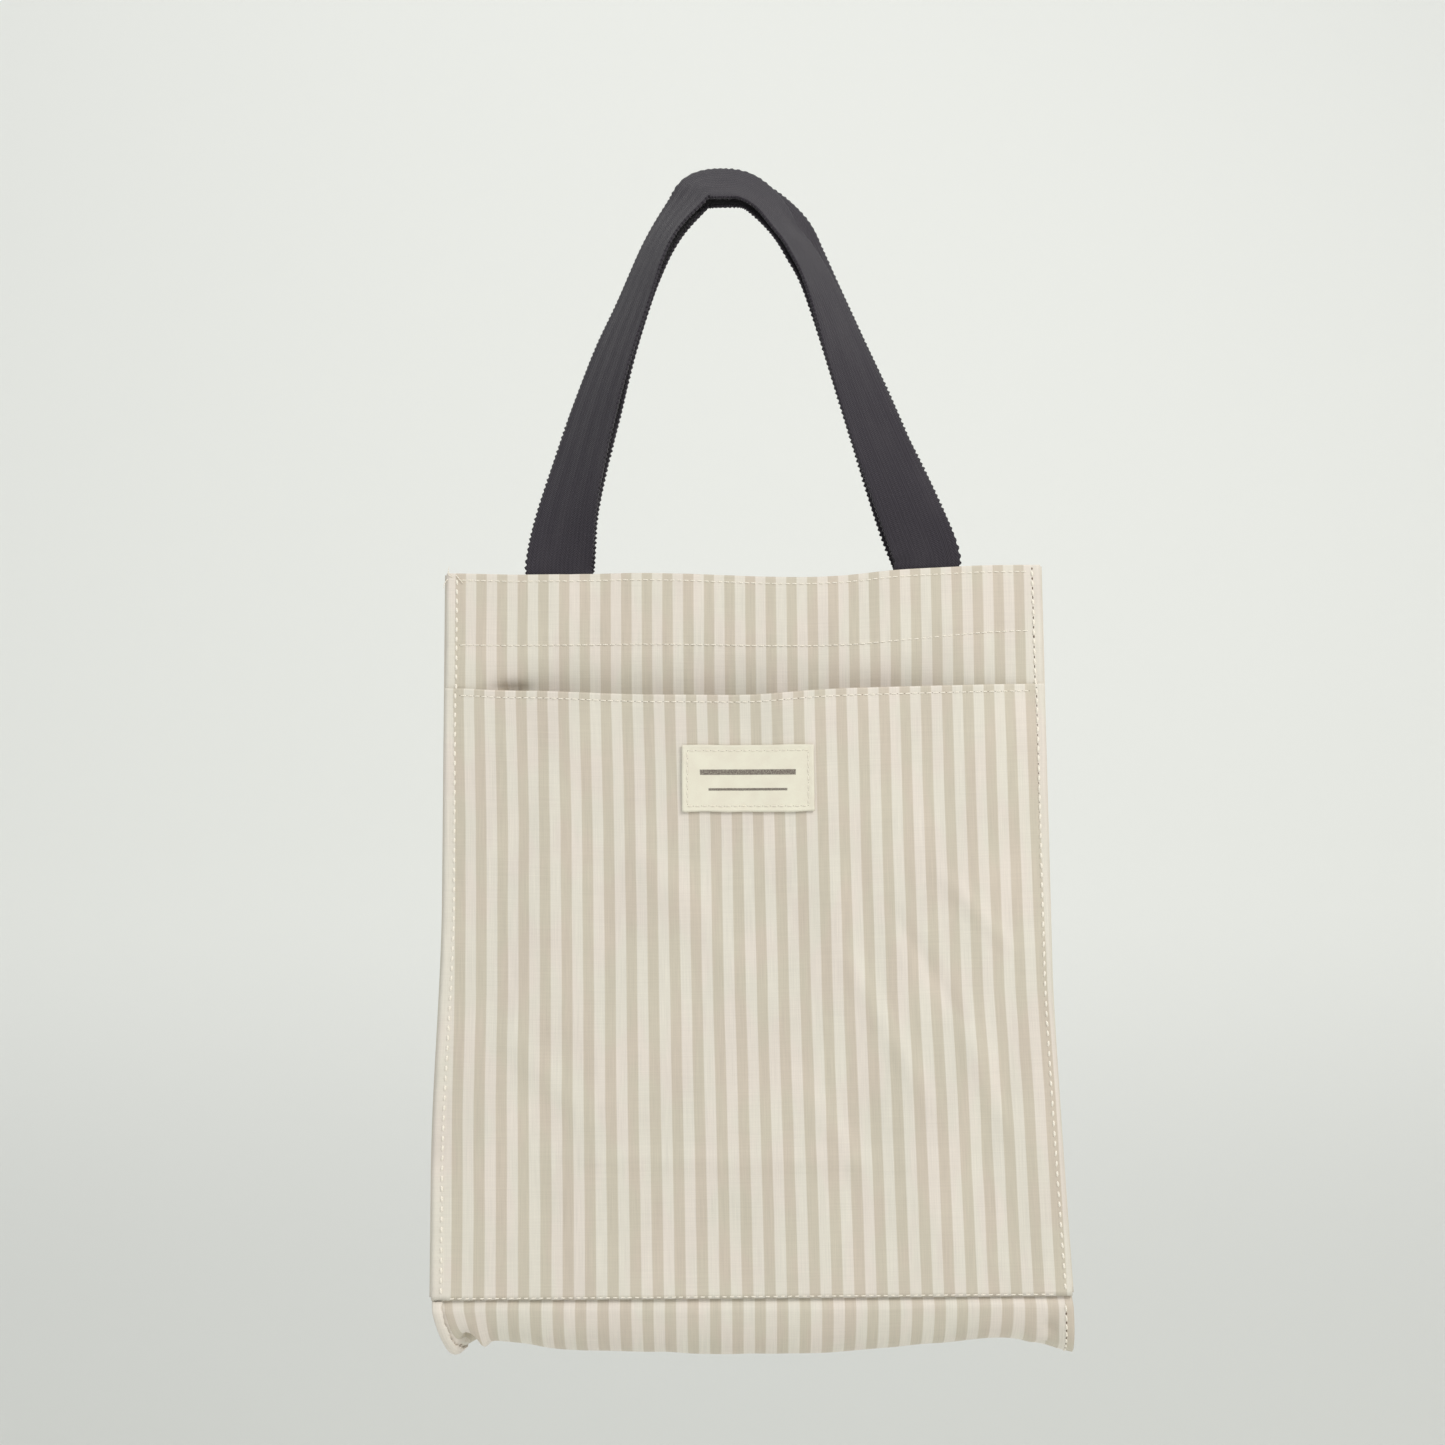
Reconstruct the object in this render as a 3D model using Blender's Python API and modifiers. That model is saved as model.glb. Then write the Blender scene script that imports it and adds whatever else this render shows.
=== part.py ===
"""Canvas tote bag, hung by its two webbing handles.

Metres, +Z up. The front faces -Y and +X is to the viewer's right. The origin is the hook point, under the
tops of the handle loops. The front panel leans back against the vertical back panel, the side gussets are
folded inwards, and the bottom panel sags below its seams.
"""

import math

import bmesh
import bpy
from mathutils import Vector

# Bag body
BAG_WIDTH = 0.286
BODY_HEIGHT = 0.340
HEM_TOP_Z = -0.1755
MOUTH_DEPTH = 0.030
BOTTOM_DEPTH = 0.041
BOTTOM_SAG = 0.028
CLOTH = 0.0008
GAP = 0.00035
LEAF_SPACING = 0.0012
HEM_DEPTH = 0.035
FLANGE = 0.005
SEAM_ALLOWANCE = 0.008
GUSSET_HALF = 0.0332
BACK_PUFF = 0.0009

# Front pocket and its label
POCKET_DROP = 0.056
POCKET_HEM = 0.008
POCKET_BULGE = 0.0105
LABEL_WIDTH = 0.060
LABEL_HEIGHT = 0.030
LABEL_DROP = 0.0278
LABEL_THICKNESS = 0.0005
LABEL_CENTRE_X = 0.001

# Webbing
STRAP_WIDTH = 0.032
STRAP_THICKNESS = 0.0014
STRAP_CENTRE_X = 0.089
STRAP_TOP_Y = 0.0035
# Centreline of a handle: x, height above the hem, and turn of the webbing's face, in mm, mm and degrees
HANDLE_PATH = (
    (-89.0, 0.3, 0.0),
    (-89.0, 7.0, 2.0),
    (-84.2, 36.0, 26.0),
    (-70.5, 85.0, 44.0),
    (-54.0, 130.0, 55.0),
    (-39.0, 164.0, 58.0),
    (-25.0, 181.0, 54.0),
    (-6.0, 187.0, 49.0),
    (11.5, 182.0, 54.0),
    (25.0, 167.0, 57.0),
    (39.0, 140.0, 55.0),
    (60.0, 85.0, 34.0),
    (82.0, 31.0, 8.0),
    (89.0, 7.0, 0.0),
    (89.0, 0.3, 0.0),
)
HANDLE_STEPS = 56

# Sewing thread, as wide as its stitches lie on the cloth
THREAD_WIDTH = 0.0008
THREAD_THICKNESS = 0.0004
HEM_ROW_TOP = 0.0035
HEM_ROW_LOW = 0.0335
POCKET_ROW = 0.0035
BOTTOM_ROW = 0.003
LABEL_ROW = 0.0027

# Derived
HALF_WIDTH = BAG_WIDTH / 2
FLANGE_X = HALF_WIDTH - FLANGE
ROW_END_X = FLANGE_X - 0.0015
FRONT_Y = -MOUTH_DEPTH / 2 + CLOTH / 2
BACK_Y = MOUTH_DEPTH / 2 - CLOTH / 2
LEAN = math.atan((BOTTOM_DEPTH - MOUTH_DEPTH) / BODY_HEIGHT)
PANEL_LENGTH = BODY_HEIGHT / math.cos(LEAN)
SEAM_Z = HEM_TOP_Z - BODY_HEIGHT
POCKET_OUT = CLOTH + GAP + LEAF_SPACING
GUSSET_IN = LEAF_SPACING + CLOTH + GAP
BOTTOM_IN = CLOTH + GAP
STRAP_IN = LEAF_SPACING + CLOTH / 2 + 0.0003 + STRAP_THICKNESS / 2
THREAD_UP = CLOTH / 2 + 0.0003 + THREAD_THICKNESS / 2


def clear_scene():
    for thing in list(bpy.data.objects):
        bpy.data.objects.remove(thing, do_unlink=True)


def material(name, colour, roughness):
    made = bpy.data.materials.new(name)
    made.use_nodes = True
    shader = made.node_tree.nodes["Principled BSDF"]
    shader.inputs["Base Color"].default_value = (*colour, 1.0)
    shader.inputs["Roughness"].default_value = roughness
    shader.inputs["Metallic"].default_value = 0.0
    return made


def smooth(t):
    t = min(max(t, 0.0), 1.0)
    return t * t * (3.0 - 2.0 * t)


def spread(start, end, count):
    return [start + (end - start) * i / count for i in range(count + 1)]


# Surfaces


def front_point(x, drop, out):
    """A point `drop` down the leaning front panel from its hem and `out` in front of its middle layer."""
    y = FRONT_Y - drop * math.sin(LEAN) - out * math.cos(LEAN)
    z = HEM_TOP_Z - drop * math.cos(LEAN) + out * math.sin(LEAN)
    return Vector((x, y, z))


def back_point(x, drop, out):
    """The back panel is flat, and its middle stands a little proud of its hem and its sewn edges."""
    side = (ROW_END_X - abs(x)) / 0.005
    above, below = (drop - HEM_DEPTH - 0.001) / 0.005, (BODY_HEIGHT - 0.005 - drop) / 0.005
    puff = BACK_PUFF * min(max(min(side, above, below), 0.0), 1.0)
    return Vector((x, BACK_Y + out + puff, HEM_TOP_Z - drop))


def pocket_point(x, drop, out):
    """The pocket lies on the panel at its sewn edges and stands off it towards the middle of its mouth."""
    across = max(0.0, 1.0 - (x / FLANGE_X) ** 2)
    down = min(max((drop - POCKET_DROP) / (PANEL_LENGTH - POCKET_DROP), 0.0), 1.0)
    bulge = POCKET_BULGE * across * (1.0 - down)
    return front_point(x, drop, POCKET_OUT + bulge + out)


def turned_rows(first, hem, last, count):
    """(drop, out) down a sheet whose top is turned in: up the inner leaf, over the fold, down the outer leaf."""
    radius = LEAF_SPACING / 2
    top = first + radius + CLOTH / 2
    rows = [(first + hem, -LEAF_SPACING), (first + hem / 2, -LEAF_SPACING)]
    for step in range(5):
        angle = math.pi * step / 4
        rows.append((top - radius * math.sin(angle), -radius - radius * math.cos(angle)))
    rows += [(drop, 0.0) for drop in spread(top, last, count)[1:]]
    return rows


def gusset_level(q):
    """Where the front and back flanges of a gusset stand at `q` of its height: z, front y and back y."""
    drop = 0.0006 + q * (PANEL_LENGTH - 0.0016)
    front = front_point(0.0, drop, -GUSSET_IN)
    return front.z, front.y, BACK_Y - GUSSET_IN


def gusset_point(side, s, q, out=0.0):
    """`s` runs from -1 at the front fold line to 1 at the back one, and beyond them over the sewn flanges."""
    z_top = gusset_level(0.0)[0]
    z, front, back = gusset_level(q)
    half = (back - front) / 2
    inside = min(abs(s), 1.0)
    tip = FLANGE_X - math.sqrt(GUSSET_HALF**2 - half**2)
    tip += (FLANGE_X - 0.001 - tip) * smooth((q - 0.8) / 0.2)
    bend = (math.sqrt(inside**2 + 0.02) - math.sqrt(0.02)) / (math.sqrt(1.02) - math.sqrt(0.02))
    x = tip + (FLANGE_X - tip) * bend + (abs(s) - inside) * FLANGE
    low = gusset_level(1.0)[0] - (BOTTOM_SAG - 0.0003) * math.sqrt(1.0 - inside**2)
    y = (front + back) / 2 + half * max(-1.0, min(1.0, s))
    return Vector((side * x, y, z_top + q * (low - z_top)))


def bottom_point(x, turn, out):
    """`turn` runs from 0 to 180 degrees round the sag, and beyond both up the allowances inside the seams."""
    front = front_point(0.0, PANEL_LENGTH - 0.0005, -BOTTOM_IN)
    back = BACK_Y - BOTTOM_IN
    reach = (back - front.y) / 2
    middle = (back + front.y) / 2
    if turn < 0.0:
        return front_point(x, PANEL_LENGTH - 0.0005 + turn, -BOTTOM_IN)
    if turn > 180.0:
        return Vector((x, back, front.z + (turn - 180.0)))
    angle = math.radians(turn)
    y = middle - (reach + out) * math.cos(angle)
    return Vector((x, y, front.z - (BOTTOM_SAG + out) * math.sin(angle)))


def path_point(at):
    """x, height and turn on the handle's centreline by a Catmull-Rom spline, `at` points along it."""
    count = len(HANDLE_PATH) - 1
    i = min(int(at), count - 1)
    t = at - i
    picks = [HANDLE_PATH[min(max(i + k, 0), count)] for k in (-1, 0, 1, 2)]
    found = []
    for a, b, c, d in zip(*picks):
        cubic = 2 * b + (c - a) * t + (2 * a - 5 * b + 4 * c - d) * t**2 + (3 * b - a - 3 * c + d) * t**3
        found.append(cubic / 2)
    return found


def even_steps(count):
    """Where the handle's centreline is cut into equal lengths."""
    last = len(HANDLE_PATH) - 1
    fine = spread(0.0, last, 600)
    points = [path_point(at) for at in fine]
    lengths = [0.0]
    for (ax, ah, _), (bx, bh, _) in zip(points, points[1:]):
        lengths.append(lengths[-1] + math.hypot(bx - ax, bh - ah))
    found = []
    for wanted in spread(0.0, lengths[-1], count):
        i = max(k for k in range(len(fine)) if lengths[k] <= wanted + 1e-9)
        found.append(fine[i])
    found[-1] = last
    return found


def handle_point(facing, at, across):
    """`facing` is -1 for the front handle and 1 for the back one. The webbing's face turns outwards as it rises."""
    last = len(HANDLE_PATH) - 1
    x, height, turn = path_point(at)
    after, before = path_point(min(at + 0.1, last)), path_point(max(at - 0.1, 0.0))
    square = smooth((height - 0.5) / 12.0)
    along = Vector(((after[0] - before[0]) * square, 0.0, after[1] - before[1])).normalized()
    outward = Vector((-along.z, 0.0, along.x))
    base = BACK_Y - STRAP_IN
    y = facing * (base + (STRAP_TOP_Y - base) * height / 187.0)
    narrower = 1.0 if facing < 0 else 1.0 - 0.015 * (1.0 - height / 187.0)
    centre = Vector((x * narrower / 1000, y, HEM_TOP_Z + height / 1000))
    angle = math.radians(turn)
    width = Vector((0.0, math.sin(angle), 0.0)) + outward * math.cos(angle)
    return centre + width * across * STRAP_WIDTH


# Solids


def sheet(name, place, columns, rows, thickness, look):
    """A grid whose points are placed on a surface, given its thickness by Solidify."""
    mesh = bpy.data.meshes.new(name)
    work = bmesh.new()
    wide, tall = len(columns) - 1, len(rows) - 1
    bmesh.ops.create_grid(work, x_segments=wide, y_segments=tall, size=0.5)
    for vertex in work.verts:
        column = columns[round((vertex.co.x + 0.5) * wide)]
        row = rows[round((vertex.co.y + 0.5) * tall)]
        vertex.co = place(column, row)
    for face in work.faces:
        face.smooth = True
    work.to_mesh(mesh)
    work.free()
    made = bpy.data.objects.new(name, mesh)
    made.data.materials.append(look)
    shell = made.modifiers.new("thickness", "SOLIDIFY")
    shell.thickness = thickness
    shell.offset = 0.0
    shell.use_even_offset = True
    return made


def panels(look):
    across = spread(-HALF_WIDTH, HALF_WIDTH, 8)
    rows = turned_rows(0.0, HEM_DEPTH, PANEL_LENGTH, 7)
    front = sheet("front_panel", lambda x, r: front_point(x, *r), across, rows, CLOTH, look)
    puffed = spread(-ROW_END_X + 0.005, ROW_END_X - 0.005, 6)
    across = [-HALF_WIDTH, -ROW_END_X] + puffed + [ROW_END_X, HALF_WIDTH]
    rows = turned_rows(0.0, HEM_DEPTH, HEM_DEPTH + 0.001, 1)
    middle = spread(HEM_DEPTH + 0.006, BODY_HEIGHT - 0.010, 6)
    rows += [(drop, 0.0) for drop in middle + [BODY_HEIGHT - 0.005, BODY_HEIGHT]]
    back = sheet("back_panel", lambda x, r: back_point(x, *r), across, rows, CLOTH, look)
    return front, back


def pocket(look):
    across = [-HALF_WIDTH] + spread(-FLANGE_X, FLANGE_X, 12) + [HALF_WIDTH]
    rows = turned_rows(POCKET_DROP, POCKET_HEM, PANEL_LENGTH - 0.0003, 8)
    return sheet("front_pocket", lambda x, r: pocket_point(x, *r), across, rows, CLOTH, look)


def gusset(name, side, look):
    inner = [-math.cos(math.radians(angle)) for angle in range(0, 181, 15)]
    heights = [0.0, 0.2, 0.4, 0.6, 0.75, 0.85, 0.93, 1.0]
    return sheet(name, lambda s, q: gusset_point(side, s, q), [-2.0] + inner + [2.0], heights, CLOTH, look)


def bottom(look):
    allowances = [-SEAM_ALLOWANCE], [180.0 + SEAM_ALLOWANCE]
    turns = allowances[0] + spread(0.0, 180.0, 12) + allowances[1]
    across = spread(-HALF_WIDTH, HALF_WIDTH, 6)
    return sheet("bottom_panel", lambda x, turn: bottom_point(x, turn, 0.0), across, turns, CLOTH, look)


def label_point(x, fall, out):
    return pocket_point(LABEL_CENTRE_X + x, POCKET_DROP + LABEL_DROP + fall, CLOTH / 2 + out)


def label(look):
    across = spread(-LABEL_WIDTH / 2, LABEL_WIDTH / 2, 4)
    falls = spread(0.0, LABEL_HEIGHT, 2)
    up = 0.0003 + LABEL_THICKNESS / 2
    return sheet("pocket_label", lambda x, f: label_point(x, f, up), across, falls, LABEL_THICKNESS, look)


def label_thread(look):
    """Once round the label, as a strip whose corners are mitred, stopping just short of where it began."""
    up = 0.0003 + LABEL_THICKNESS + 0.0003 + THREAD_THICKNESS / 2
    wide, tall = LABEL_WIDTH / 2 - LABEL_ROW, LABEL_HEIGHT / 2 - LABEL_ROW
    corners = [(-1, 1), (1, 1), (1, -1), (-1, -1), (-1, 1)]
    stops = []
    for (ax, ay), (bx, by) in zip(corners, corners[1:]):
        stops += [(ax + (bx - ax) * k / 3, ay + (by - ay) * k / 3) for k in range(3)]
    stops.append((-1.0, 0.94))

    def place(edge, stop):
        x = stop[0] * (wide + edge * THREAD_WIDTH)
        fall = LABEL_HEIGHT / 2 - stop[1] * (tall + edge * THREAD_WIDTH)
        return label_point(x, fall, up)

    stops[0] = (-0.97, 1.0)
    return sheet("thread_label", place, [-0.5, 0.5], stops, THREAD_THICKNESS, look)


def handle(name, facing, look):
    across = [-0.5, 0.0, 0.5]
    along = even_steps(HANDLE_STEPS)
    return sheet(name, lambda a, at: handle_point(facing, at, a), across, along, STRAP_THICKNESS, look)


def strap_end(name, surface, centre, look):
    """The part of a handle that is sewn down, against the inner leaf of the hem."""
    across = spread(centre - STRAP_WIDTH / 2, centre + STRAP_WIDTH / 2, 2)
    falls = spread(0.0, HEM_DEPTH, 2)
    return sheet(name, lambda x, d: surface(x, d, -STRAP_IN), across, falls, STRAP_THICKNESS, look)


def row_across(name, surface, drop, count, look):
    """Thread along a level row from one side seam to the other."""
    across = spread(-ROW_END_X, ROW_END_X, count)
    edges = [drop - THREAD_WIDTH / 2, drop + THREAD_WIDTH / 2]
    return sheet(name, lambda x, d: surface(x, d, THREAD_UP), across, edges, THREAD_THICKNESS, look)


def row_down(name, surface, x, drops, look):
    """Thread down a side seam."""
    edges = [x - THREAD_WIDTH / 2, x + THREAD_WIDTH / 2]
    return sheet(name, lambda e, d: surface(e, d, THREAD_UP), edges, drops, THREAD_THICKNESS, look)


def front_seam_point(x, drop, out):
    """The outer layer under a front side seam: the panel above the pocket's mouth and the pocket below it."""
    step = smooth((drop - POCKET_DROP + 0.009) / 0.007)
    return front_point(x, drop, out + POCKET_OUT * step)


def gusset_row(name, side, look):
    """Thread round the fold of a gusset, on its outer face, along its hem."""
    turns = [-math.cos(math.radians(angle)) for angle in range(15, 166, 15)]
    q = HEM_ROW_LOW / PANEL_LENGTH
    wide = THREAD_WIDTH / PANEL_LENGTH / 2

    def facing(first, second):
        along = (gusset_point(side, second, q) - gusset_point(side, first, q)).normalized()
        return Vector((along.y, -along.x, 0.0)) * side

    def place(i, edge):
        before = facing(turns[max(i - 1, 0)], turns[max(i, 1)])
        after = facing(turns[min(i, len(turns) - 2)], turns[min(i + 1, len(turns) - 1)])
        mitre = (before + after) / (1.0 + before.dot(after))
        return gusset_point(side, turns[i], q + edge) + mitre * THREAD_UP

    columns = list(range(len(turns)))[1:-1]
    return sheet(name, place, columns, [-wide, wide], THREAD_THICKNESS, look)


def bottom_row(name, side, look):
    """Thread along a short edge of the bottom panel, under it."""
    edges = [side * (FLANGE_X + 0.0012), side * (FLANGE_X + 0.002)]
    turns = spread(15.0, 165.0, 10)
    return sheet(name, lambda x, turn: bottom_point(x, turn, THREAD_UP), edges, turns, THREAD_THICKNESS, look)


def threads(look):
    seam_drops = [0.0015, POCKET_DROP - 0.009, POCKET_DROP - 0.0055, POCKET_DROP - 0.002, 0.2, PANEL_LENGTH - 0.001]
    low = PANEL_LENGTH - BOTTOM_ROW
    front = [
        row_across("thread_front_hem_top", front_point, HEM_ROW_TOP, 4, look),
        row_across("thread_front_hem_lower", front_point, HEM_ROW_LOW, 4, look),
        row_across("thread_pocket_mouth", pocket_point, POCKET_DROP + POCKET_ROW, 12, look),
        row_across("thread_front_bottom", pocket_point, low, 4, look),
        row_down("thread_front_side_left", front_seam_point, -FLANGE_X, seam_drops, look),
        row_down("thread_front_side_right", front_seam_point, FLANGE_X, seam_drops, look),
        label_thread(look),
    ]
    straight = [0.0015, 0.17, BODY_HEIGHT - 0.001]
    back = [
        row_across("thread_back_hem_top", back_point, HEM_ROW_TOP, 4, look),
        row_across("thread_back_hem_lower", back_point, HEM_ROW_LOW, 4, look),
        row_across("thread_back_bottom", back_point, BODY_HEIGHT - BOTTOM_ROW, 4, look),
        row_down("thread_back_side_left", back_point, -FLANGE_X, straight, look),
        row_down("thread_back_side_right", back_point, FLANGE_X, straight, look),
        gusset_row("thread_gusset_hem_left", -1, look),
        gusset_row("thread_gusset_hem_right", 1, look),
        bottom_row("thread_bottom_left", -1, look),
        bottom_row("thread_bottom_right", 1, look),
    ]
    return front, back


def pivot(name, point, collection, parent=None):
    """An empty on a joint's axis, or where the bag is held."""
    made = bpy.data.objects.new(name, None)
    made.empty_display_size = 0.03
    collection.objects.link(made)
    made.parent = parent
    made.location = point - (parent_place(parent) if parent else Vector())
    return made


def parent_place(thing):
    place = thing.location.copy()
    while thing.parent:
        thing = thing.parent
        place += thing.location
    return place


def attach(pieces, empty, collection):
    """Gives each piece its origin on the empty's axis, and its parent."""
    origin = parent_place(empty)
    for piece in pieces:
        for vertex in piece.data.vertices:
            vertex.co -= origin
        collection.objects.link(piece)
        piece.parent = empty


def build():
    clear_scene()
    collection = bpy.data.collections.new("canvas_tote_bag")
    bpy.context.scene.collection.children.link(collection)
    canvas = material("striped_canvas", (0.80, 0.74, 0.63), 0.6)
    webbing = material("cotton_webbing", (0.045, 0.042, 0.052), 0.85)
    tape = material("label_tape", (0.84, 0.80, 0.66), 0.7)
    sewing = material("cream_thread", (0.78, 0.72, 0.60), 0.6)

    hook = pivot("hook_point", Vector(), collection)
    hem_back = Vector((0.0, BACK_Y + CLOTH / 2, HEM_TOP_Z))
    hem_front = Vector((0.0, FRONT_Y - CLOTH / 2, HEM_TOP_Z))
    mouth_axis = pivot("mouth_axis", front_point(0.0, PANEL_LENGTH, CLOTH / 2), collection, hook)
    front_axis = pivot("front_handle_axis", hem_front, collection, mouth_axis)
    back_axis = pivot("back_handle_axis", hem_back, collection, hook)

    front_panel, back_panel = panels(canvas)
    front_threads, back_threads = threads(sewing)
    left, right = -STRAP_CENTRE_X, STRAP_CENTRE_X
    front_ends = [
        strap_end("front_strap_end_left", front_point, left, webbing),
        strap_end("front_strap_end_right", front_point, right, webbing),
    ]
    back_ends = [
        strap_end("back_strap_end_left", back_point, left * 0.985, webbing),
        strap_end("back_strap_end_right", back_point, right * 0.985, webbing),
    ]
    sides = [gusset("left_gusset", -1, canvas), gusset("right_gusset", 1, canvas)]
    attach([back_panel, bottom(canvas)] + sides + back_ends + back_threads, hook, collection)
    attach([front_panel, pocket(canvas), label(tape)] + front_ends + front_threads, mouth_axis, collection)
    attach([handle("front_handle", -1, webbing)], front_axis, collection)
    attach([handle("back_handle", 1, webbing)], back_axis, collection)


build()
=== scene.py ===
import math

import bpy
import numpy as np
from mathutils import Matrix, Vector


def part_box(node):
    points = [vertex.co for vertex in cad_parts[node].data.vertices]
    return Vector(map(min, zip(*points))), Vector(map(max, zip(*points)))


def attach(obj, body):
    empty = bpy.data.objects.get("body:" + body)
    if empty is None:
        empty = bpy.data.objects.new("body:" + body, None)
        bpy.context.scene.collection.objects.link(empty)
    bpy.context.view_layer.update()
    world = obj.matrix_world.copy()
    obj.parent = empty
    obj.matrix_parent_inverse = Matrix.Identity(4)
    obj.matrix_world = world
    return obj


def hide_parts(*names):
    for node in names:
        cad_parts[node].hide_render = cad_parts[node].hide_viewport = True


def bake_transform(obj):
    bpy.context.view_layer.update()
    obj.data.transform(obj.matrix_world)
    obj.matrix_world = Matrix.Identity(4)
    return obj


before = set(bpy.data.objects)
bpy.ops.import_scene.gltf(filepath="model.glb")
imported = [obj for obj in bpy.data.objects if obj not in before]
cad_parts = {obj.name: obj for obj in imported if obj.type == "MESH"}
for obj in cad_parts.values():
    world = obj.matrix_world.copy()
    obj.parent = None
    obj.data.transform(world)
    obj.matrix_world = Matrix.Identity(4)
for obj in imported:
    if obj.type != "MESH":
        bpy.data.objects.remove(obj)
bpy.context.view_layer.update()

# Canvas tote bag with two webbing handles, hung from a hook.
#
# Metres, +Z up. The front faces -Y. Every surface is a function of where a point lies on its cloth, so
# that layers sewn together keep their distance: x across, `drop` down from the hem, and `out` away from
# the middle layer.

# Sizes that the frame gives
HALF_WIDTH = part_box("front_panel")[1].x
HEM_TOP_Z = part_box("back_panel")[1].z
SEAM_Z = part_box("back_panel")[0].z
BODY_HEIGHT = HEM_TOP_Z - SEAM_Z
CLOTH = 0.0008
BACK_PUFF = 0.0009
BACK_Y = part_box("back_panel")[1].y - CLOTH / 2 - BACK_PUFF
FRONT_Y = -BACK_Y
LEAN = math.atan((FRONT_Y - CLOTH / 2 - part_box("front_panel")[0].y) / BODY_HEIGHT)
PANEL_LENGTH = BODY_HEIGHT / math.cos(LEAN)
POCKET_DROP = HEM_TOP_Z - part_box("front_pocket")[1].z + 0.0003
LABEL_LOW, LABEL_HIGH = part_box("pocket_label")
STRAP_LOW, STRAP_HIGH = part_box("front_strap_end_right")

# Sizes that go with them
GAP = 0.00035
LEAF_SPACING = 0.0012
HEM_DEPTH = 0.035
HEM_SAG_FADE = 0.075
HEM_ROW_TOP = 0.0035
HEM_ROW_LOW = 0.0335
FLANGE_X = HALF_WIDTH - 0.005
ROW_END_X = FLANGE_X - 0.0015
BOTTOM_ROW_X = FLANGE_X + 0.0016
BOTTOM_ARC = 0.080
BOTTOM_IN = CLOTH + GAP
POCKET_HEM = 0.008
POCKET_ROW = 0.0035
POCKET_BULGE = 0.0105
POCKET_OUT = CLOTH + GAP + LEAF_SPACING
MOUTH_SAG_FADE = 0.26
GUSSET_IN = LEAF_SPACING + CLOTH + GAP
GUSSET_HALF = 0.0332
GUSSET_FLANGE = 0.0062
STRAP_THICKNESS = 0.0014
STRAP_WIDTH = STRAP_HIGH.x - STRAP_LOW.x
STRAP_IN = LEAF_SPACING + CLOTH / 2 + 0.0003 + STRAP_THICKNESS / 2
STRAP_TOP_Y = 0.0035
LABEL_THICKNESS = 0.0005
LABEL_OUT = 0.0006
LABEL_DROP = HEM_TOP_Z - LABEL_HIGH.z - 0.0037
LABEL_WIDTH = (LABEL_HIGH.x - LABEL_LOW.x) * 1.035
LABEL_HEIGHT = (LABEL_HIGH.z - LABEL_LOW.z) * 1.06
LABEL_X = (LABEL_LOW.x + LABEL_HIGH.x) / 2
LABEL_TILT = 0.0065
LABEL_ROW = 0.0027
STRIPE = 0.010


# Curves and noise


def smooth(t):
    t = np.clip(t, 0.0, 1.0)
    return t * t * (3.0 - 2.0 * t)


def bell(t):
    return np.exp(-t * t)


def keyed(x, pairs, width=0.010):
    """A soft curve through pairs of (x, value), both in mm, as metres."""
    xs, values = zip(*pairs)
    total = 0.0
    for shift in (-1.0, -0.5, 0.0, 0.5, 1.0):
        total = total + np.interp((x + shift * width) * 1000, xs, values)
    return total / 5000


def noise(u, v, seed):
    """Smooth value noise on a unit lattice, from -1 to 1."""
    iu, iv = np.floor(u), np.floor(v)
    fu, fv = smooth(u - iu), smooth(v - iv)

    def corner(a, b):
        mixed = np.sin(a * 127.1 + b * 311.7 + seed * 74.7) * 43758.5453
        return (mixed - np.floor(mixed)) * 2 - 1

    low = corner(iu, iv) * (1 - fu) + corner(iu + 1, iv) * fu
    high = corner(iu, iv + 1) * (1 - fu) + corner(iu + 1, iv + 1) * fu
    return low * (1 - fv) + high * fv


def crease(x, drop, start, end, width, height):
    """A soft ridge from one place on the cloth to another."""
    (ax, ad), (bx, bd) = start, end
    dx, dd = bx - ax, bd - ad
    size = math.hypot(dx, dd)
    along = ((x - ax) * dx + (drop - ad) * dd) / size**2
    off = ((x - ax) * dd - (drop - ad) * dx) / size
    return height * bell(off / width) * smooth(along / 0.3) * smooth((1 - along) / 0.3)


def dents(a, b, spots):
    """Soft dents and bumps, each with its place and width along a, the same along b, and its height."""
    return sum(height * bell((a - at_a) / wide_a) * bell((b - at_b) / wide_b)
               for at_a, wide_a, at_b, wide_b, height in spots)


def stacked(*parts):
    return np.stack(np.broadcast_arrays(*parts), axis=-1)


def unit(vectors):
    return vectors / np.linalg.norm(vectors, axis=-1, keepdims=True)


def run_along(line):
    """How far each point of a line lies along it."""
    return np.cumsum(np.concatenate([[0.0], np.linalg.norm(np.diff(line, axis=0), axis=-1)]))


# The bag's surfaces
# How far each edge sags: pairs of x and sag, both in mm

HEM_SAG = (
    (-143, 0), (-132, 0), (-118, 0.8), (-74, 0.8), (-52, 0.2), (-16, 1.4), (0, 2.4), (28, 3.2), (42, 2.9),
    (57, 1.7), (71, -0.2), (100, -1.5), (115, -2.2), (143, -2.1),
)
MOUTH_SAG = (
    (-138, 0), (-122, 1.2), (-113, 2.2), (-104, 1.8), (-53, 4.6), (3, 5.6), (38, 2.9), (88, 1.3), (138, 0),
)
BOTTOM_SAG = (
    (-143, 26.9), (-135, 26.6), (-126, 24.6), (-119, 20.9), (-100, 23.2), (-86, 25.5), (-46, 28.3),
    (0, 28.9), (36, 28.6), (63, 26.0), (90, 24.4), (104, 22.4), (117, 21.8), (131, 26.0), (143, 29.9),
)

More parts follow.
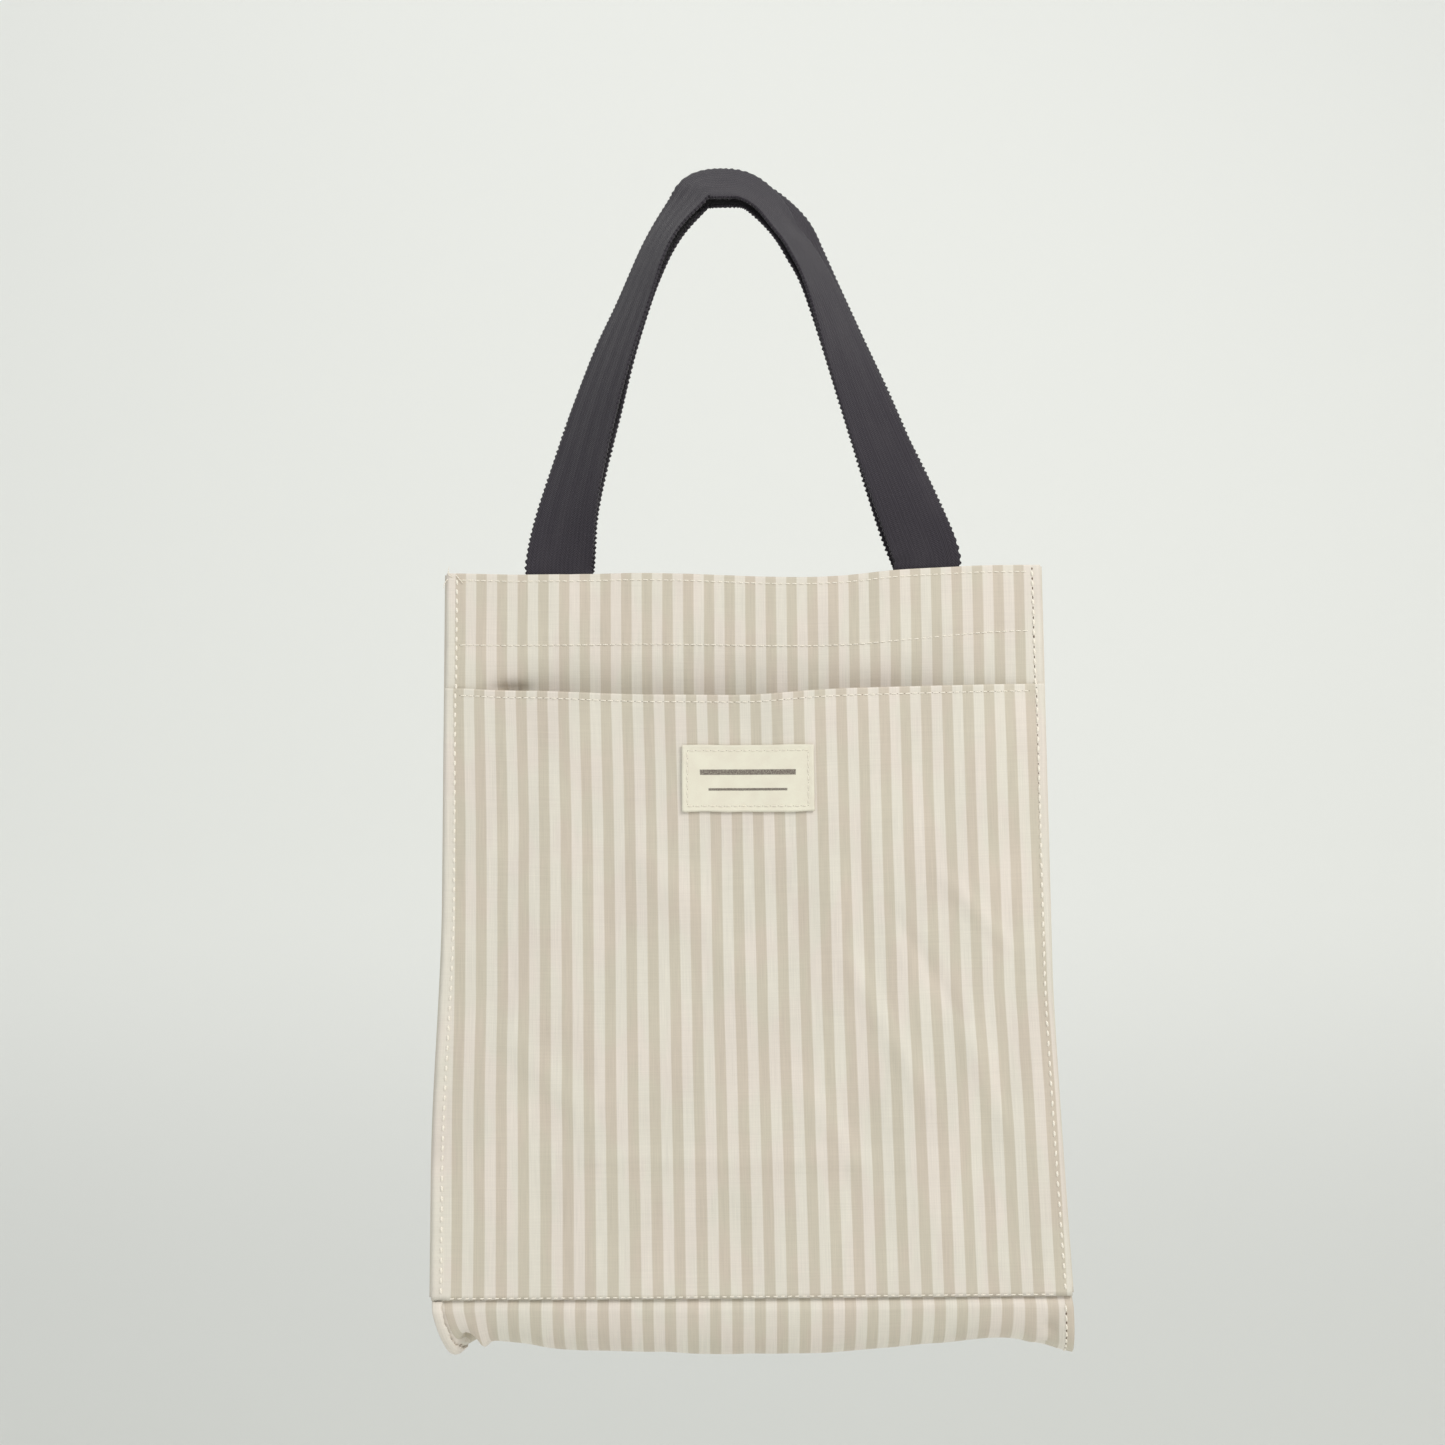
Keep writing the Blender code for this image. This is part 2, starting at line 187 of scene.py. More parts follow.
# Creases, each with its start and end as x and drop, its width and its height
FRONT_CREASES = (
    ((-0.115, 0.275), (0.105, 0.279), 0.0050, 0.0005),
    ((0.094, 0.190), (0.120, 0.275), 0.0055, 0.0013),
    ((0.128, 0.215), (0.098, 0.300), 0.0060, -0.0011),
    ((-0.125, 0.205), (-0.070, 0.262), 0.0070, 0.0008),
    ((-0.060, 0.120), (0.010, 0.205), 0.0100, 0.0008),
    ((0.045, 0.110), (0.070, 0.240), 0.0090, -0.0008),
    ((0.040, 0.170), (0.088, 0.262), 0.0050, 0.0009),
    ((0.062, 0.152), (0.112, 0.232), 0.0042, -0.0008),
    ((0.085, 0.138), (0.132, 0.190), 0.0040, 0.0008),
    ((-0.095, 0.100), (-0.125, 0.165), 0.0060, -0.0006),
    ((0.020, 0.235), (0.064, 0.300), 0.0060, 0.0006),
)
BACK_CREASES = (
    ((-0.110, 0.270), (0.100, 0.282), 0.0050, -0.0008),
    ((-0.020, 0.090), (0.060, 0.230), 0.0090, 0.0008),
)

# Dents, each with its drop (or, on the bottom, its x) and width, its x (or its turn) and width, and height
MOUTH_DENTS = (
    (0.0600, 0.0110, -0.0880, 0.0340, -0.0019),
    (0.0620, 0.0090, 0.0620, 0.0220, -0.0012),
    (0.0566, 0.0022, -0.1115, 0.0070, -0.0070),
)
BOTTOM_DENTS = (
    (-0.1325, 0.0045, 66, 20, -0.0205),
    (-0.1245, 0.0030, 62, 22, 0.0015),
    (0.1330, 0.0028, 32, 10, -0.0021),
    (0.1310, 0.0036, 62, 9, -0.0023),
    (0.1260, 0.0030, 50, 16, 0.0009),
)


def left_swing(drop):
    """How much of its outward hang the left side has, from 0 above to 1 below."""
    return smooth((drop - 0.155) / 0.130)


def flared(x, drop):
    """The sides hang outwards below the middle of the bag, further on the right."""
    left = 0.0040 * left_swing(drop)
    right = 0.0057 * np.clip((drop - 0.195) / 0.145, 0.0, 1.0) ** 1.2
    share = (np.abs(x) / HALF_WIDTH) ** 1.5
    return x + np.where(x < 0, -left, right) * share


def wrinkles(x, drop):
    """How far the front stands out of its plane, none at the seams."""
    inside = smooth((FLANGE_X - np.abs(x)) / 0.020) * smooth((PANEL_LENGTH - 0.003 - drop) / 0.030)
    folds = 0.0011 * noise(x / 0.047 + 3.1, drop / 0.150 + 0.4, 1)
    folds = folds + 0.0006 * noise(x / 0.030, drop / 0.062 + 0.7, 2)
    folds = folds + 0.00022 * noise(x / 0.013, drop / 0.021, 3)
    soft = 0.25 + 0.75 * smooth((drop - 0.025) / 0.060)
    lines = sum(crease(x, drop, *fold) for fold in FRONT_CREASES)
    return inside * (1.35 * folds * soft + 1.5 * lines)


def hem_row(x):
    """The drop of the hem's lower row, which was not sewn quite level."""
    return HEM_ROW_LOW + 0.0015 - 0.0036 * smooth((x - 0.050) / 0.090)


def stitch_groove(distance):
    return -0.00022 * bell(distance / 0.0011)


def seam_x(x, drop):
    """How far out a side seam runs: nearer the panel's edge lower down, and on the right."""
    return FLANGE_X + np.where(x > 0, 0.0010 + 0.0011 * drop / PANEL_LENGTH, 0.0006 * left_swing(drop))


def front(x, drop, out):
    """The leaning front panel. It hollows inwards behind the pocket's mouth."""
    inside = smooth((FLANGE_X - np.abs(x)) / 0.030)
    hollow = -0.0017 * bell((drop - 0.068) / 0.022) * inside
    hollow = hollow * (1.0 + 0.6 * noise(x / 0.045 + 0.6, drop / 0.02, 7)) + dents(drop, x, MOUTH_DENTS)
    pucker = 0.00025 * noise(x / 0.006, drop / 0.030, 9) * smooth((0.045 - drop) / 0.01) * inside
    grooves = stitch_groove(drop - HEM_ROW_TOP) + stitch_groove(drop - hem_row(x))
    grooves = grooves + stitch_groove(np.abs(x) - seam_x(x, drop))
    out = out + wrinkles(x, drop) + hollow + pucker + grooves
    y = FRONT_Y - drop * math.sin(LEAN) - out * math.cos(LEAN)
    sag = keyed(x, HEM_SAG) * smooth(1.0 - drop / HEM_SAG_FADE)
    z = HEM_TOP_Z - drop * math.cos(LEAN) + out * math.sin(LEAN) - sag
    return stacked(flared(x, drop), y, z)


def pocket(x, drop, out):
    """The pocket stands off the panel towards the middle of its mouth, which sags."""
    across = np.clip(1.0 - (x / FLANGE_X) ** 2, 0.0, 1.0)
    down = np.clip((drop - POCKET_DROP) / (PANEL_LENGTH - POCKET_DROP), 0.0, 1.0)
    uneven = 1.0 + 0.16 * noise(x / 0.05 + 5.0, drop / 0.09, 4)
    bulge = POCKET_BULGE * across * (1.0 - down) * uneven
    grooves = stitch_groove(drop - POCKET_DROP - POCKET_ROW) + stitch_groove(np.abs(x) - seam_x(x, drop))
    pucker = 0.0002 * noise(x / 0.006, drop / 0.020, 8) * smooth((POCKET_DROP + 0.012 - drop) / 0.01)
    close = LEAF_SPACING * smooth((drop - POCKET_DROP - POCKET_HEM) / 0.10)
    out = out + POCKET_OUT - close + bulge + wrinkles(x, drop) + grooves + pucker
    y = FRONT_Y - drop * math.sin(LEAN) - out * math.cos(LEAN)
    sag = keyed(x, MOUTH_SAG) * smooth(1.0 - (drop - POCKET_DROP) / MOUTH_SAG_FADE)
    z = HEM_TOP_Z - drop * math.cos(LEAN) + out * math.sin(LEAN) - sag
    return stacked(flared(x, drop), y, z)


def back(x, drop, out):
    """The back panel hangs flat, with slight folds."""
    inside = smooth((FLANGE_X - np.abs(x)) / 0.020) * smooth((BODY_HEIGHT - 0.003 - drop) / 0.030)
    inside = inside * (0.25 + 0.75 * smooth((drop - 0.030) / 0.050))
    folds = 0.0009 * noise(x / 0.050 + 1.7, drop / 0.140, 11)
    folds = folds + 0.0005 * noise(x / 0.028, drop / 0.070, 12)
    folds = folds + 0.0002 * noise(x / 0.012, drop / 0.020, 13)
    folds = folds + sum(crease(x, drop, *fold) for fold in BACK_CREASES)
    grooves = stitch_groove(drop - HEM_ROW_TOP) + stitch_groove(drop - HEM_ROW_LOW)
    grooves = grooves + stitch_groove(np.abs(x) - seam_x(x, drop))
    sag = 0.5 * keyed(x, HEM_SAG) * smooth(1.0 - drop / HEM_SAG_FADE)
    return stacked(flared(x, drop), BACK_Y + out + inside * folds + grooves, HEM_TOP_Z - drop - sag)


def corner_shift(x, angle):
    """The left end of the bottom is drawn inwards as it hangs, the right end hardly at all."""
    low = np.sin(angle) ** 1.25
    return 0.0085 * low * smooth((-x - 0.112) / 0.026) + 0.0022 * low * smooth((x - 0.110) / 0.028)


def bottom(x, turn, up, out):
    """`turn` runs from 0 to 180 degrees round the sag, from the front seam to the back one, and `up` runs
    up an allowance."""
    seam = front(np.zeros(1), np.full(1, PANEL_LENGTH - 0.0005), -BOTTOM_IN)[0]
    rear = BACK_Y - BOTTOM_IN
    reach, middle = (rear - seam[1]) / 2, (rear + seam[1]) / 2
    angle = np.radians(turn)
    low = np.sin(angle)
    belly = 0.0030 * smooth((turn - 1.0) / 9) * smooth((110 - turn) / 60)
    uneven = 0.0010 * noise(x / 0.035 + 0.3, turn / 60, 21) + 0.0004 * noise(x / 0.013, turn / 30, 22)
    groove = stitch_groove(np.abs(x) - BOTTOM_ROW_X)
    out = out + belly + dents(x, turn, BOTTOM_DENTS) + low * (uneven + groove)
    y = middle - (reach + out) * np.cos(angle)
    z = seam[2] - (keyed(x, BOTTOM_SAG, 0.004) + out) * low
    wide = flared(x, PANEL_LENGTH) + corner_shift(x, angle)
    z = np.where(turn < 90, z + up * math.cos(LEAN), z + up)
    y = np.where(turn < 90, y + up * math.sin(LEAN), y)
    return stacked(wide, y, z)


def gusset(side, s, q):
    """A side strip folded inwards. `s` runs from the front fold (-1) to the back one (1), and beyond them
    over its flanges, and `q` runs down its height."""
    inside = np.minimum(np.abs(s), 1.0)
    drop = 0.0006 + q * (PANEL_LENGTH - 0.0016)
    front_y = FRONT_Y - drop * math.sin(LEAN) + GUSSET_IN * math.cos(LEAN)
    level = HEM_TOP_Z - drop * math.cos(LEAN) - GUSSET_IN * math.sin(LEAN)
    back_y = BACK_Y - GUSSET_IN
    half = (back_y - front_y) / 2
    tip = FLANGE_X - np.sqrt(GUSSET_HALF**2 - half**2)
    tip = tip + (FLANGE_X - 0.001 - tip) * smooth((q - 0.8) / 0.2)
    bend = (np.sqrt(inside**2 + 0.02) - math.sqrt(0.02)) / (math.sqrt(1.02) - math.sqrt(0.02))
    loose = (1.0 - inside**2) * smooth(q / 0.15) * smooth((0.97 - q) / 0.2)
    x = tip + (FLANGE_X - tip) * bend + (np.abs(s) - inside) * GUSSET_FLANGE
    slack = 0.0016 * noise(s * 1.3, q * 5.0, 31 + side) + 0.0008 * noise(s * 3.1, q * 11.0, 33 + side)
    x = x + loose * slack
    x = flared(side * x, drop)
    hang = np.radians(90.0 * (1.0 + np.clip(s, -1.0, 1.0)))
    edge = side * FLANGE_X
    x = x + corner_shift(edge, hang) * smooth((q - 0.82) / 0.18)
    y = (front_y + back_y) / 2 + half * np.clip(s, -1.0, 1.0)
    low = SEAM_Z + 0.0015 - (keyed(edge, BOTTOM_SAG, 0.004) - 0.0012) * np.sqrt(1.0 - inside**2)
    z = level + (low - (SEAM_Z + 0.0015)) * q
    front_share = np.clip(0.5 - s / 2, 0.0, 1.0)
    z = z - keyed(edge, HEM_SAG) * smooth(1.0 - drop / HEM_SAG_FADE) * (0.5 + 0.5 * front_share)
    return stacked(x, y, z)


# The webbing's surface
# Centreline of a handle: x and height above the hem in mm, and the turn of its face in degrees

FRONT_PATH = (
    (-89.0, 0.3, 0.0), (-89.0, 7.0, 2.0), (-84.2, 36.0, 26.0), (-71.0, 85.0, 43.0),
    (-55.5, 130.0, 53.0), (-46.0, 155.0, 58.0), (-37.5, 172.0, 57.0), (-27.5, 186.0, 51.0),
    (-20.0, 194.5, 45.0), (-7.0, 196.0, 43.0), (3.5, 194.0, 46.0), (13.5, 186.0, 52.0),
    (22.0, 173.0, 58.0), (30.5, 161.0, 58.0), (41.0, 140.0, 55.0), (60.0, 85.0, 34.0),
    (80.3, 31.0, 10.0), (88.5, 7.0, 0.0), (88.5, 0.3, 0.0),
)
BACK_PATH = (
    (-90.5, 0.3, 0.0), (-90.0, 7.0, 2.0), (-85.4, 36.0, 26.0), (-71.5, 85.0, 40.0),
    (-55.5, 130.0, 55.0), (-46.0, 154.0, 57.0), (-37.0, 171.0, 56.0), (-27.0, 185.0, 50.0),
    (-19.5, 192.5, 45.0), (-7.0, 194.0, 43.0), (4.5, 193.0, 43.0), (14.0, 187.5, 42.0),
    (25.0, 176.5, 43.0), (32.5, 163.0, 47.0), (42.5, 141.0, 48.0), (63.0, 86.0, 30.0),
    (82.0, 31.0, 8.0), (91.0, 7.0, 0.0), (91.0, 0.3, 0.0),
)


def spline(points, at):
    """A Catmull-Rom curve through the points, `at` points along it."""
    points = np.array(points)
    last = len(points) - 1
    i = np.clip(np.floor(at).astype(int), 0, last - 1)
    t = (at - i)[:, None]
    a, b, c, d = (points[np.clip(i + k, 0, last)] for k in (-1, 0, 1, 2))
    cubic = 2 * b + (c - a) * t + (2 * a - 5 * b + 4 * c - d) * t**2 + (3 * b - a - 3 * c + d) * t**3
    return cubic / 2


def webbing_rows(path, facing):
    """Rows along one length of webbing, both sewn tails and the free handle: centre, across and outward."""
    last = len(path) - 1
    fine = np.linspace(0.0, last, 2400)
    found = spline(path, fine)
    step = np.hypot(np.diff(found[:, 0]), np.diff(found[:, 1]))
    length = np.concatenate([[0.0], np.cumsum(step)])
    even = np.interp(np.linspace(0.0, length[-1], 700), length, fine)
    x, height, turn = spline(path, even).T
    after, before = spline(path, np.minimum(even + 0.1, last)), spline(path, np.maximum(even - 0.1, 0.0))
    square = smooth((height - 0.5) / 12.0)
    along = np.stack([(after[:, 0] - before[:, 0]) * square, after[:, 1] - before[:, 1]], axis=-1)
    along = unit(along)
    base = BACK_Y - STRAP_IN
    y = facing * (base + (STRAP_TOP_Y - base) * height / max(point[1] for point in FRONT_PATH))
    x = x / 1000
    share = 1.0 if facing < 0 else 0.5
    sag = share * keyed(x, HEM_SAG) * smooth(1.0 - height / 40.0)
    centre = stacked(x, y, HEM_TOP_Z + height / 1000 - sag)
    angle = np.radians(turn)
    across = stacked(-along[:, 1] * np.cos(angle), np.sin(angle), along[:, 0] * np.cos(angle))
    tails = []
    surface = front if facing < 0 else back
    falls = np.linspace(0.0003, HEM_DEPTH, 56)
    for end, order in ((0, -1), (-1, 1)):
        tail = surface(np.full_like(falls, x[end]), falls[::order], -STRAP_IN)
        tails.append((tail, np.tile(across[end], (len(falls), 1))))
    (left, left_across), (right, right_across) = tails
    keep = slice(1, -1)
    centre = np.concatenate([left, centre[keep], right])
    across = np.concatenate([left_across, across[keep], right_across])
    across = unit(across)
    return centre, across, np.cross(unit(np.gradient(centre, axis=0)), across)


# Meshes

STEP = 1e-4


def meshed(name, verts, faces, uv):
    """A mesh, with a place on the cloth for each corner of each face."""
    mesh = bpy.data.meshes.new(name)
    mesh.from_pydata(verts, [], faces)
    layer = mesh.uv_layers.new(name="cloth")
    layer.data.foreach_set("uv", np.ascontiguousarray(uv, dtype=np.float32).ravel())
    return mesh


def finished(name, mesh, looks):
    for look in looks:
        mesh.materials.append(look)
    mesh.validate()
    mesh.update()
    for polygon in mesh.polygons:
        polygon.use_smooth = True
    made = bpy.data.objects.new(name, mesh)
    bpy.context.scene.collection.objects.link(made)
    return made


def grid(name, points, uv, looks, thickness, outside=1.0):
    """A sheet from rows and columns of points, given its thickness evenly about them. The second look is its
    reverse."""
    tall, wide = points.shape[:2]
    index = np.arange(tall * wide).reshape(tall, wide)
    faces = np.stack([index[:-1, :-1], index[:-1, 1:], index[1:, 1:], index[1:, :-1]], axis=-1).reshape(-1, 4)
    if outside < 0:
        faces = faces[:, ::-1]
    mesh = meshed(name, points.reshape(-1, 3).tolist(), faces.tolist(), uv.reshape(-1, 2)[faces.ravel()])
    made = finished(name, mesh, looks)
    shell = made.modifiers.new("thickness", "SOLIDIFY")
    shell.thickness = thickness
    shell.offset = 0.0
    shell.use_even_offset = True
    shell.use_quality_normals = True
    if len(looks) > 1:
        shell.material_offset = 1
    applied = bpy.data.meshes.new_from_object(made.evaluated_get(bpy.context.evaluated_depsgraph_get()))
    made.modifiers.clear()
    made.data = applied
    applied.name = name
    return made


def tubes(place, begin, pitch, share, width):
    """Vertices, faces and uv of one short thread for each start in `begin`."""
    stations, ring = 7, 6
    part = np.linspace(0.0, 1.0, stations)
    rise = np.sqrt(np.clip(1.0 - (2 * part - 1) ** 2, 0.0, 1.0))
    t = begin[:, None] + part[None, :] * pitch * share
    lift = (-0.00018 + 0.00040 * rise)[None, :] + 0 * t
    centre = place(t, lift)
    along = unit(place(t + STEP, lift) - place(t - STEP, lift))
    side = unit(np.cross(along, place(t, lift + STEP) - place(t, lift - STEP)))
    up = np.cross(side, along)
    skew = 0.10 * width * noise(np.arange(len(begin)) * 0.37, 3.0, 43)
    centre = centre + side * skew[:, None, None] * 4 * (part - 0.5)[None, :, None]
    radius = (0.30 + 0.70 * rise)[None, :, None] * width / 2
    angle = np.arange(ring) * 2 * math.pi / ring
    points = centre[:, :, None, :] + radius[..., None] * (
        side[:, :, None, :] * np.cos(angle)[None, None, :, None]
        + up[:, :, None, :] * 0.75 * np.sin(angle)[None, None, :, None]
    )
    faces, uv = [], []
    for n in range(len(begin)):
        base = n * stations * ring
        for k in range(stations - 1):
            low, high = base + k * ring, base + (k + 1) * ring
            near, far = (n + part[k]) * pitch, (n + part[k + 1]) * pitch
            for a in range(ring):
                b = (a + 1) % ring
                faces.append((low + a, low + b, high + b, high + a))
                uv += [(a / ring, near), ((a + 1) / ring, near), ((a + 1) / ring, far), (a / ring, far)]
        top = base + (stations - 1) * ring
        faces.append(tuple(base + a for a in reversed(range(ring))))
        faces.append(tuple(top + a for a in range(ring)))
        uv += [(0.0, n * pitch)] * (2 * ring)
    return points.reshape(-1, 3).tolist(), faces, uv


def shade_dimples(place, middle, radius, first):
    """Vertices and faces of a small dimple, dark with painted shade, at each place in `middle`, numbered from
    `first`.
    """
    ring = 6
    flat = np.zeros_like(middle)
    hub, over = place(middle, flat + 0.00006), place(middle, flat - 0.00020)
    ahead = unit(place(middle + STEP, flat) - place(middle - STEP, flat))
    upward = unit(hub - over)
    beside = np.cross(ahead, upward)
    verts, faces = [], []
    for n in range(len(middle)):
        base = first + len(verts)
        verts += [hub[n].tolist(), over[n].tolist()]
        for a in np.arange(ring) * 2 * math.pi / ring:
            reach = ahead[n] * math.cos(a) * 1.35 + beside[n] * math.sin(a) * 0.85
            verts.append((hub[n] - upward[n] * 0.00004 + radius * reach).tolist())
        for a in range(ring):
            b = (a + 1) % ring
            faces += [(base, base + 2 + a, base + 2 + b), (base + 1, base + 2 + b, base + 2 + a)]
    return verts, faces


def stitches(name, place, length, pitch, looks, width=0.00062, share=0.74, start=0.0, hole=0.00026):
    """Separate stitches along a row, with a needle hole between two, its darkness painted shade. place(t,
    out) is a point t metres along it and out of the cloth's face, and `share` is the stitch's part of the
    pitch."""
    count = int((length - start) / pitch)
    first = start + (length - start - count * pitch) / 2 + pitch * (1 - share) / 2
    begin = first + np.arange(count) * pitch
    begin = begin + 0.05 * pitch * noise(np.arange(count) * 0.7, 0.0, 41)
    middle = np.append(begin - pitch * (1 - share) / 2, begin[-1] + pitch * (1 + share) / 2)
    verts, faces, uv = tubes(place, begin, pitch, share, width)
    hole_verts, hole_faces = shade_dimples(place, middle, hole, len(verts))
    mesh = meshed(name, verts + hole_verts, faces + hole_faces, uv + [(0.0, 0.0)] * (3 * len(hole_faces)))
    # The dimples take the second look: the painted shade of the needle holes.
    mesh.polygons.foreach_set("material_index", [0] * len(faces) + [1] * len(hole_faces))
    return finished(name, mesh, looks)


# Materials


class Net:
    """A material's node tree, written as expressions."""

    def __init__(self, name):
        self.material = bpy.data.materials.new(name)
        self.material.use_nodes = True
        self.tree = self.material.node_tree
        self.shader = self.tree.nodes["Principled BSDF"]

    def node(self, kind, inputs, **settings):
        made = self.tree.nodes.new(kind)
        for key, value in settings.items():
            setattr(made, key, value)
        for key, value in inputs.items():
            self.put(made.inputs[key], value)
        return made

    def put(self, socket, value):
        if isinstance(value, bpy.types.NodeSocket):
            self.tree.links.new(value, socket)
        else:
            socket.default_value = value

    def math(self, operation, *values):
        return self.node("ShaderNodeMath", dict(enumerate(values)), operation=operation).outputs[0]

    def add(self, first, second):
        return self.math("ADD", first, second)

    def times(self, first, second):
        return self.math("MULTIPLY", first, second)

    def around(self, value, middle, strength):
        """How far a value is from the middle, times strength."""
        return self.times(self.math("SUBTRACT", value, middle), strength)

    def wave(self, value, period):
        return self.math("SINE", self.times(value, 2 * math.pi / period))

    def place(self):
        layer = self.tree.nodes.new("ShaderNodeUVMap")
        layer.uv_map = "cloth"
        split = self.node("ShaderNodeSeparateXYZ", {0: layer.outputs[0]})
        return split.outputs[0], split.outputs[1]

    def noise(self, x, y, per_x, per_y, detail=2.0, rough=0.5, shift=0.0):
        """Noise whose grain is 1 / per_x by 1 / per_y metres."""
        y = self.times(y, per_y)
        y = self.add(y, shift) if shift else y
        where = self.node("ShaderNodeCombineXYZ", {0: self.times(x, per_x), 1: y, 2: 0.0}).outputs[0]
        inputs = {"Vector": where, "Scale": 1.0, "Detail": detail, "Roughness": rough}
        return self.node("ShaderNodeTexNoise", inputs).outputs["Fac"]

    def ramp(self, value, low, high, start=0.0, end=1.0, how="SMOOTHSTEP"):
        return self.node("ShaderNodeMapRange", {0: value, 1: low, 2: high, 3: start, 4: end},
                         interpolation_type=how).outputs[0]

    def mix(self, share, first, second, blend="MIX"):
        made = self.tree.nodes.new("ShaderNodeMix")
        made.data_type = "RGBA"
        made.blend_type = blend
        for socket, value in ((made.inputs[0], share), (made.inputs[6], first), (made.inputs[7], second)):
            if isinstance(value, tuple):
                value = (*value, 1.0)
            self.put(socket, value)
        return made.outputs[2]

    def finish(self, colour, roughness, height, depth, **constants):
        self.put(self.shader.inputs["Base Color"], colour)
        self.put(self.shader.inputs["Roughness"], roughness)
        bump = self.node("ShaderNodeBump", {"Height": height, "Strength": 1.0, "Distance": depth})
        self.put(self.shader.inputs["Normal"], bump.outputs[0])
        for key, value in constants.items():
            self.shader.inputs[key.replace("_", " ")].default_value = value
        return self.material


def canvas(name, beige, cream, contrast=1.0):
    """Yarn-dyed stripes under a thin coat. Tones wander a little, thread by thread and in soft patches."""
    net = Net(name)
    u, v = net.place()
    wander = net.around(net.noise(u, v, 60.0, 14.0), 0.5, 0.0007)
    turns = net.times(net.add(u, wander), 1.0 / STRIPE)
    part = net.math("FRACT", net.add(turns, 0.25))
    away = net.math("ABSOLUTE", net.math("SUBTRACT", part, 0.5))
    stripe = net.ramp(away, 0.275, 0.225)
    threads = net.noise(u, v, 2600.0, 45.0, 1.0)
    picks = net.noise(u, v, 45.0, 2300.0, 1.0)
    patches = net.noise(u, v, 34.0, 22.0, 3.0)
    tint = net.noise(u, v, 55.0, 24.0, 2.0, shift=7.0)
    colour = net.mix(net.times(stripe, contrast), cream, beige)
    rosy = net.mix(net.ramp(tint, 0.40, 0.62), (0.955, 1.0, 0.965), (1.0, 0.958, 0.968))
    colour = net.mix(0.42, colour, rosy, "MULTIPLY")
    shade = net.add(net.around(threads, 0.5, 0.20), net.around(picks, 0.5, 0.12))
    shade = net.add(net.add(shade, net.around(patches, 0.5, 0.14)), 1.0)
    grey = net.node("ShaderNodeCombineXYZ", {0: shade, 1: shade, 2: shade}).outputs[0]
    colour = net.mix(1.0, colour, grey, "MULTIPLY")
    weave = net.times(net.wave(u, 0.00062), net.wave(v, 0.00066))
    height = net.add(net.times(weave, 0.5), net.add(threads, picks))
    rough = net.ramp(patches, 0.3, 0.7, 0.50, 0.62, "LINEAR")
    return net.finish(colour, rough, height, 0.00003, Specular_IOR_Level=0.35, Coat_Weight=0.05,
                      Coat_Roughness=0.45)


def webbing_look(name):
    """Dark cotton webbing: ribs along it, a herringbone across them, and fluffier raised threads. The colour
    follows the relief, so the crests carry a painted highlight and the grooves painted shade.
    """
    net = Net(name)
    u, v = net.place()
    zig = net.math("PINGPONG", u, 0.0040)
    twill = net.wave(net.add(v, zig), 0.00125)
    ribs = net.wave(u, 0.0020)
    fluff = net.noise(u, v, 1500.0, 900.0, 3.0, 0.7)
    patches = net.noise(u, v, 70.0, 26.0, 3.0)
    height = net.add(net.add(net.times(twill, 0.35), net.times(ribs, 0.16)), net.times(fluff, 0.6))
    # Painted light and shade: lighter where the weave stands high, darker in its grooves.
    share = net.ramp(height, -0.35, 0.95, 0.0, 1.0, "LINEAR")
    colour = net.mix(share, (0.017, 0.0145, 0.0195), (0.046, 0.040, 0.050))
    worn = net.ramp(patches, 0.45, 0.75, 0.0, 0.35, "LINEAR")
    colour = net.mix(worn, colour, (0.058, 0.052, 0.059))
    return net.finish(colour, net.ramp(fluff, 0.3, 0.7, 0.72, 0.92, "LINEAR"), height, 0.00022,
                      Specular_IOR_Level=0.25, Sheen_Weight=0.14, Sheen_Roughness=0.5)


def label_look(name):
    """Cream cotton tape with a fine rib, and two plain woven bars where a name would be."""
    net = Net(name)
    u, v = net.place()
    rib, pick = net.wave(u, 0.0005), net.wave(v, 0.0007)
    patches = net.noise(u, v, 120.0, 120.0, 3.0)
    fine = net.noise(u, v, 2200.0, 1500.0, 2.0)
    colour = net.mix(net.ramp(patches, 0.35, 0.65), (0.81, 0.78, 0.645), (0.78, 0.735, 0.61))
    colour = net.mix(net.times(fine, 0.22), colour, (0.60, 0.56, 0.44))

    def bar(half_long, centre, half_tall):
        ragged = net.around(fine, 0.5, 0.0006)
        side = net.add(net.math("ABSOLUTE", u), ragged)
        off = net.add(net.math("ABSOLUTE", net.math("SUBTRACT", v, centre)), ragged)
        return net.times(net.ramp(side, half_long + 0.0001, half_long - 0.0001),
                         net.ramp(off, half_tall + 0.00012, half_tall - 0.00012))

    bars = net.add(bar(0.0225, 0.0130, 0.0013), bar(0.0185, 0.0212, 0.0006))
    ink = net.times(bars, net.ramp(fine, 0.25, 0.6, 0.55, 0.95, "LINEAR"))
    colour = net.mix(ink, colour, (0.105, 0.080, 0.068))
    height = net.add(net.times(net.times(rib, pick), 0.4), fine)
    return net.finish(colour, net.ramp(fine, 0.3, 0.7, 0.62, 0.78, "LINEAR"), height, 0.00004,
                      Specular_IOR_Level=0.3, Sheen_Weight=0.08)


def thread_look(name, light, dark):
    """Two-ply sewing thread: its twist is painted as a slanting band, lighter on each ply, with painted shade
    in the groove between them.
    """
    net = Net(name)
    u, v = net.place()
    turns = net.add(net.times(u, 2 * math.pi * 2), net.times(v, 2 * math.pi / 0.0011))
    fibre = net.noise(u, v, 14.0, 2500.0, 2.0)
    height = net.add(net.times(net.math("SINE", turns), 0.5), fibre)
    # Painted light and shade along the twist: the ply's crest lighter, the groove darker.
    colour = net.mix(net.ramp(height, -0.2, 1.0, 0.0, 1.0, "LINEAR"), dark, light)
    return net.finish(colour, net.ramp(fibre, 0.3, 0.7, 0.45, 0.65, "LINEAR"), height, 0.00005,
                      Specular_IOR_Level=0.4)


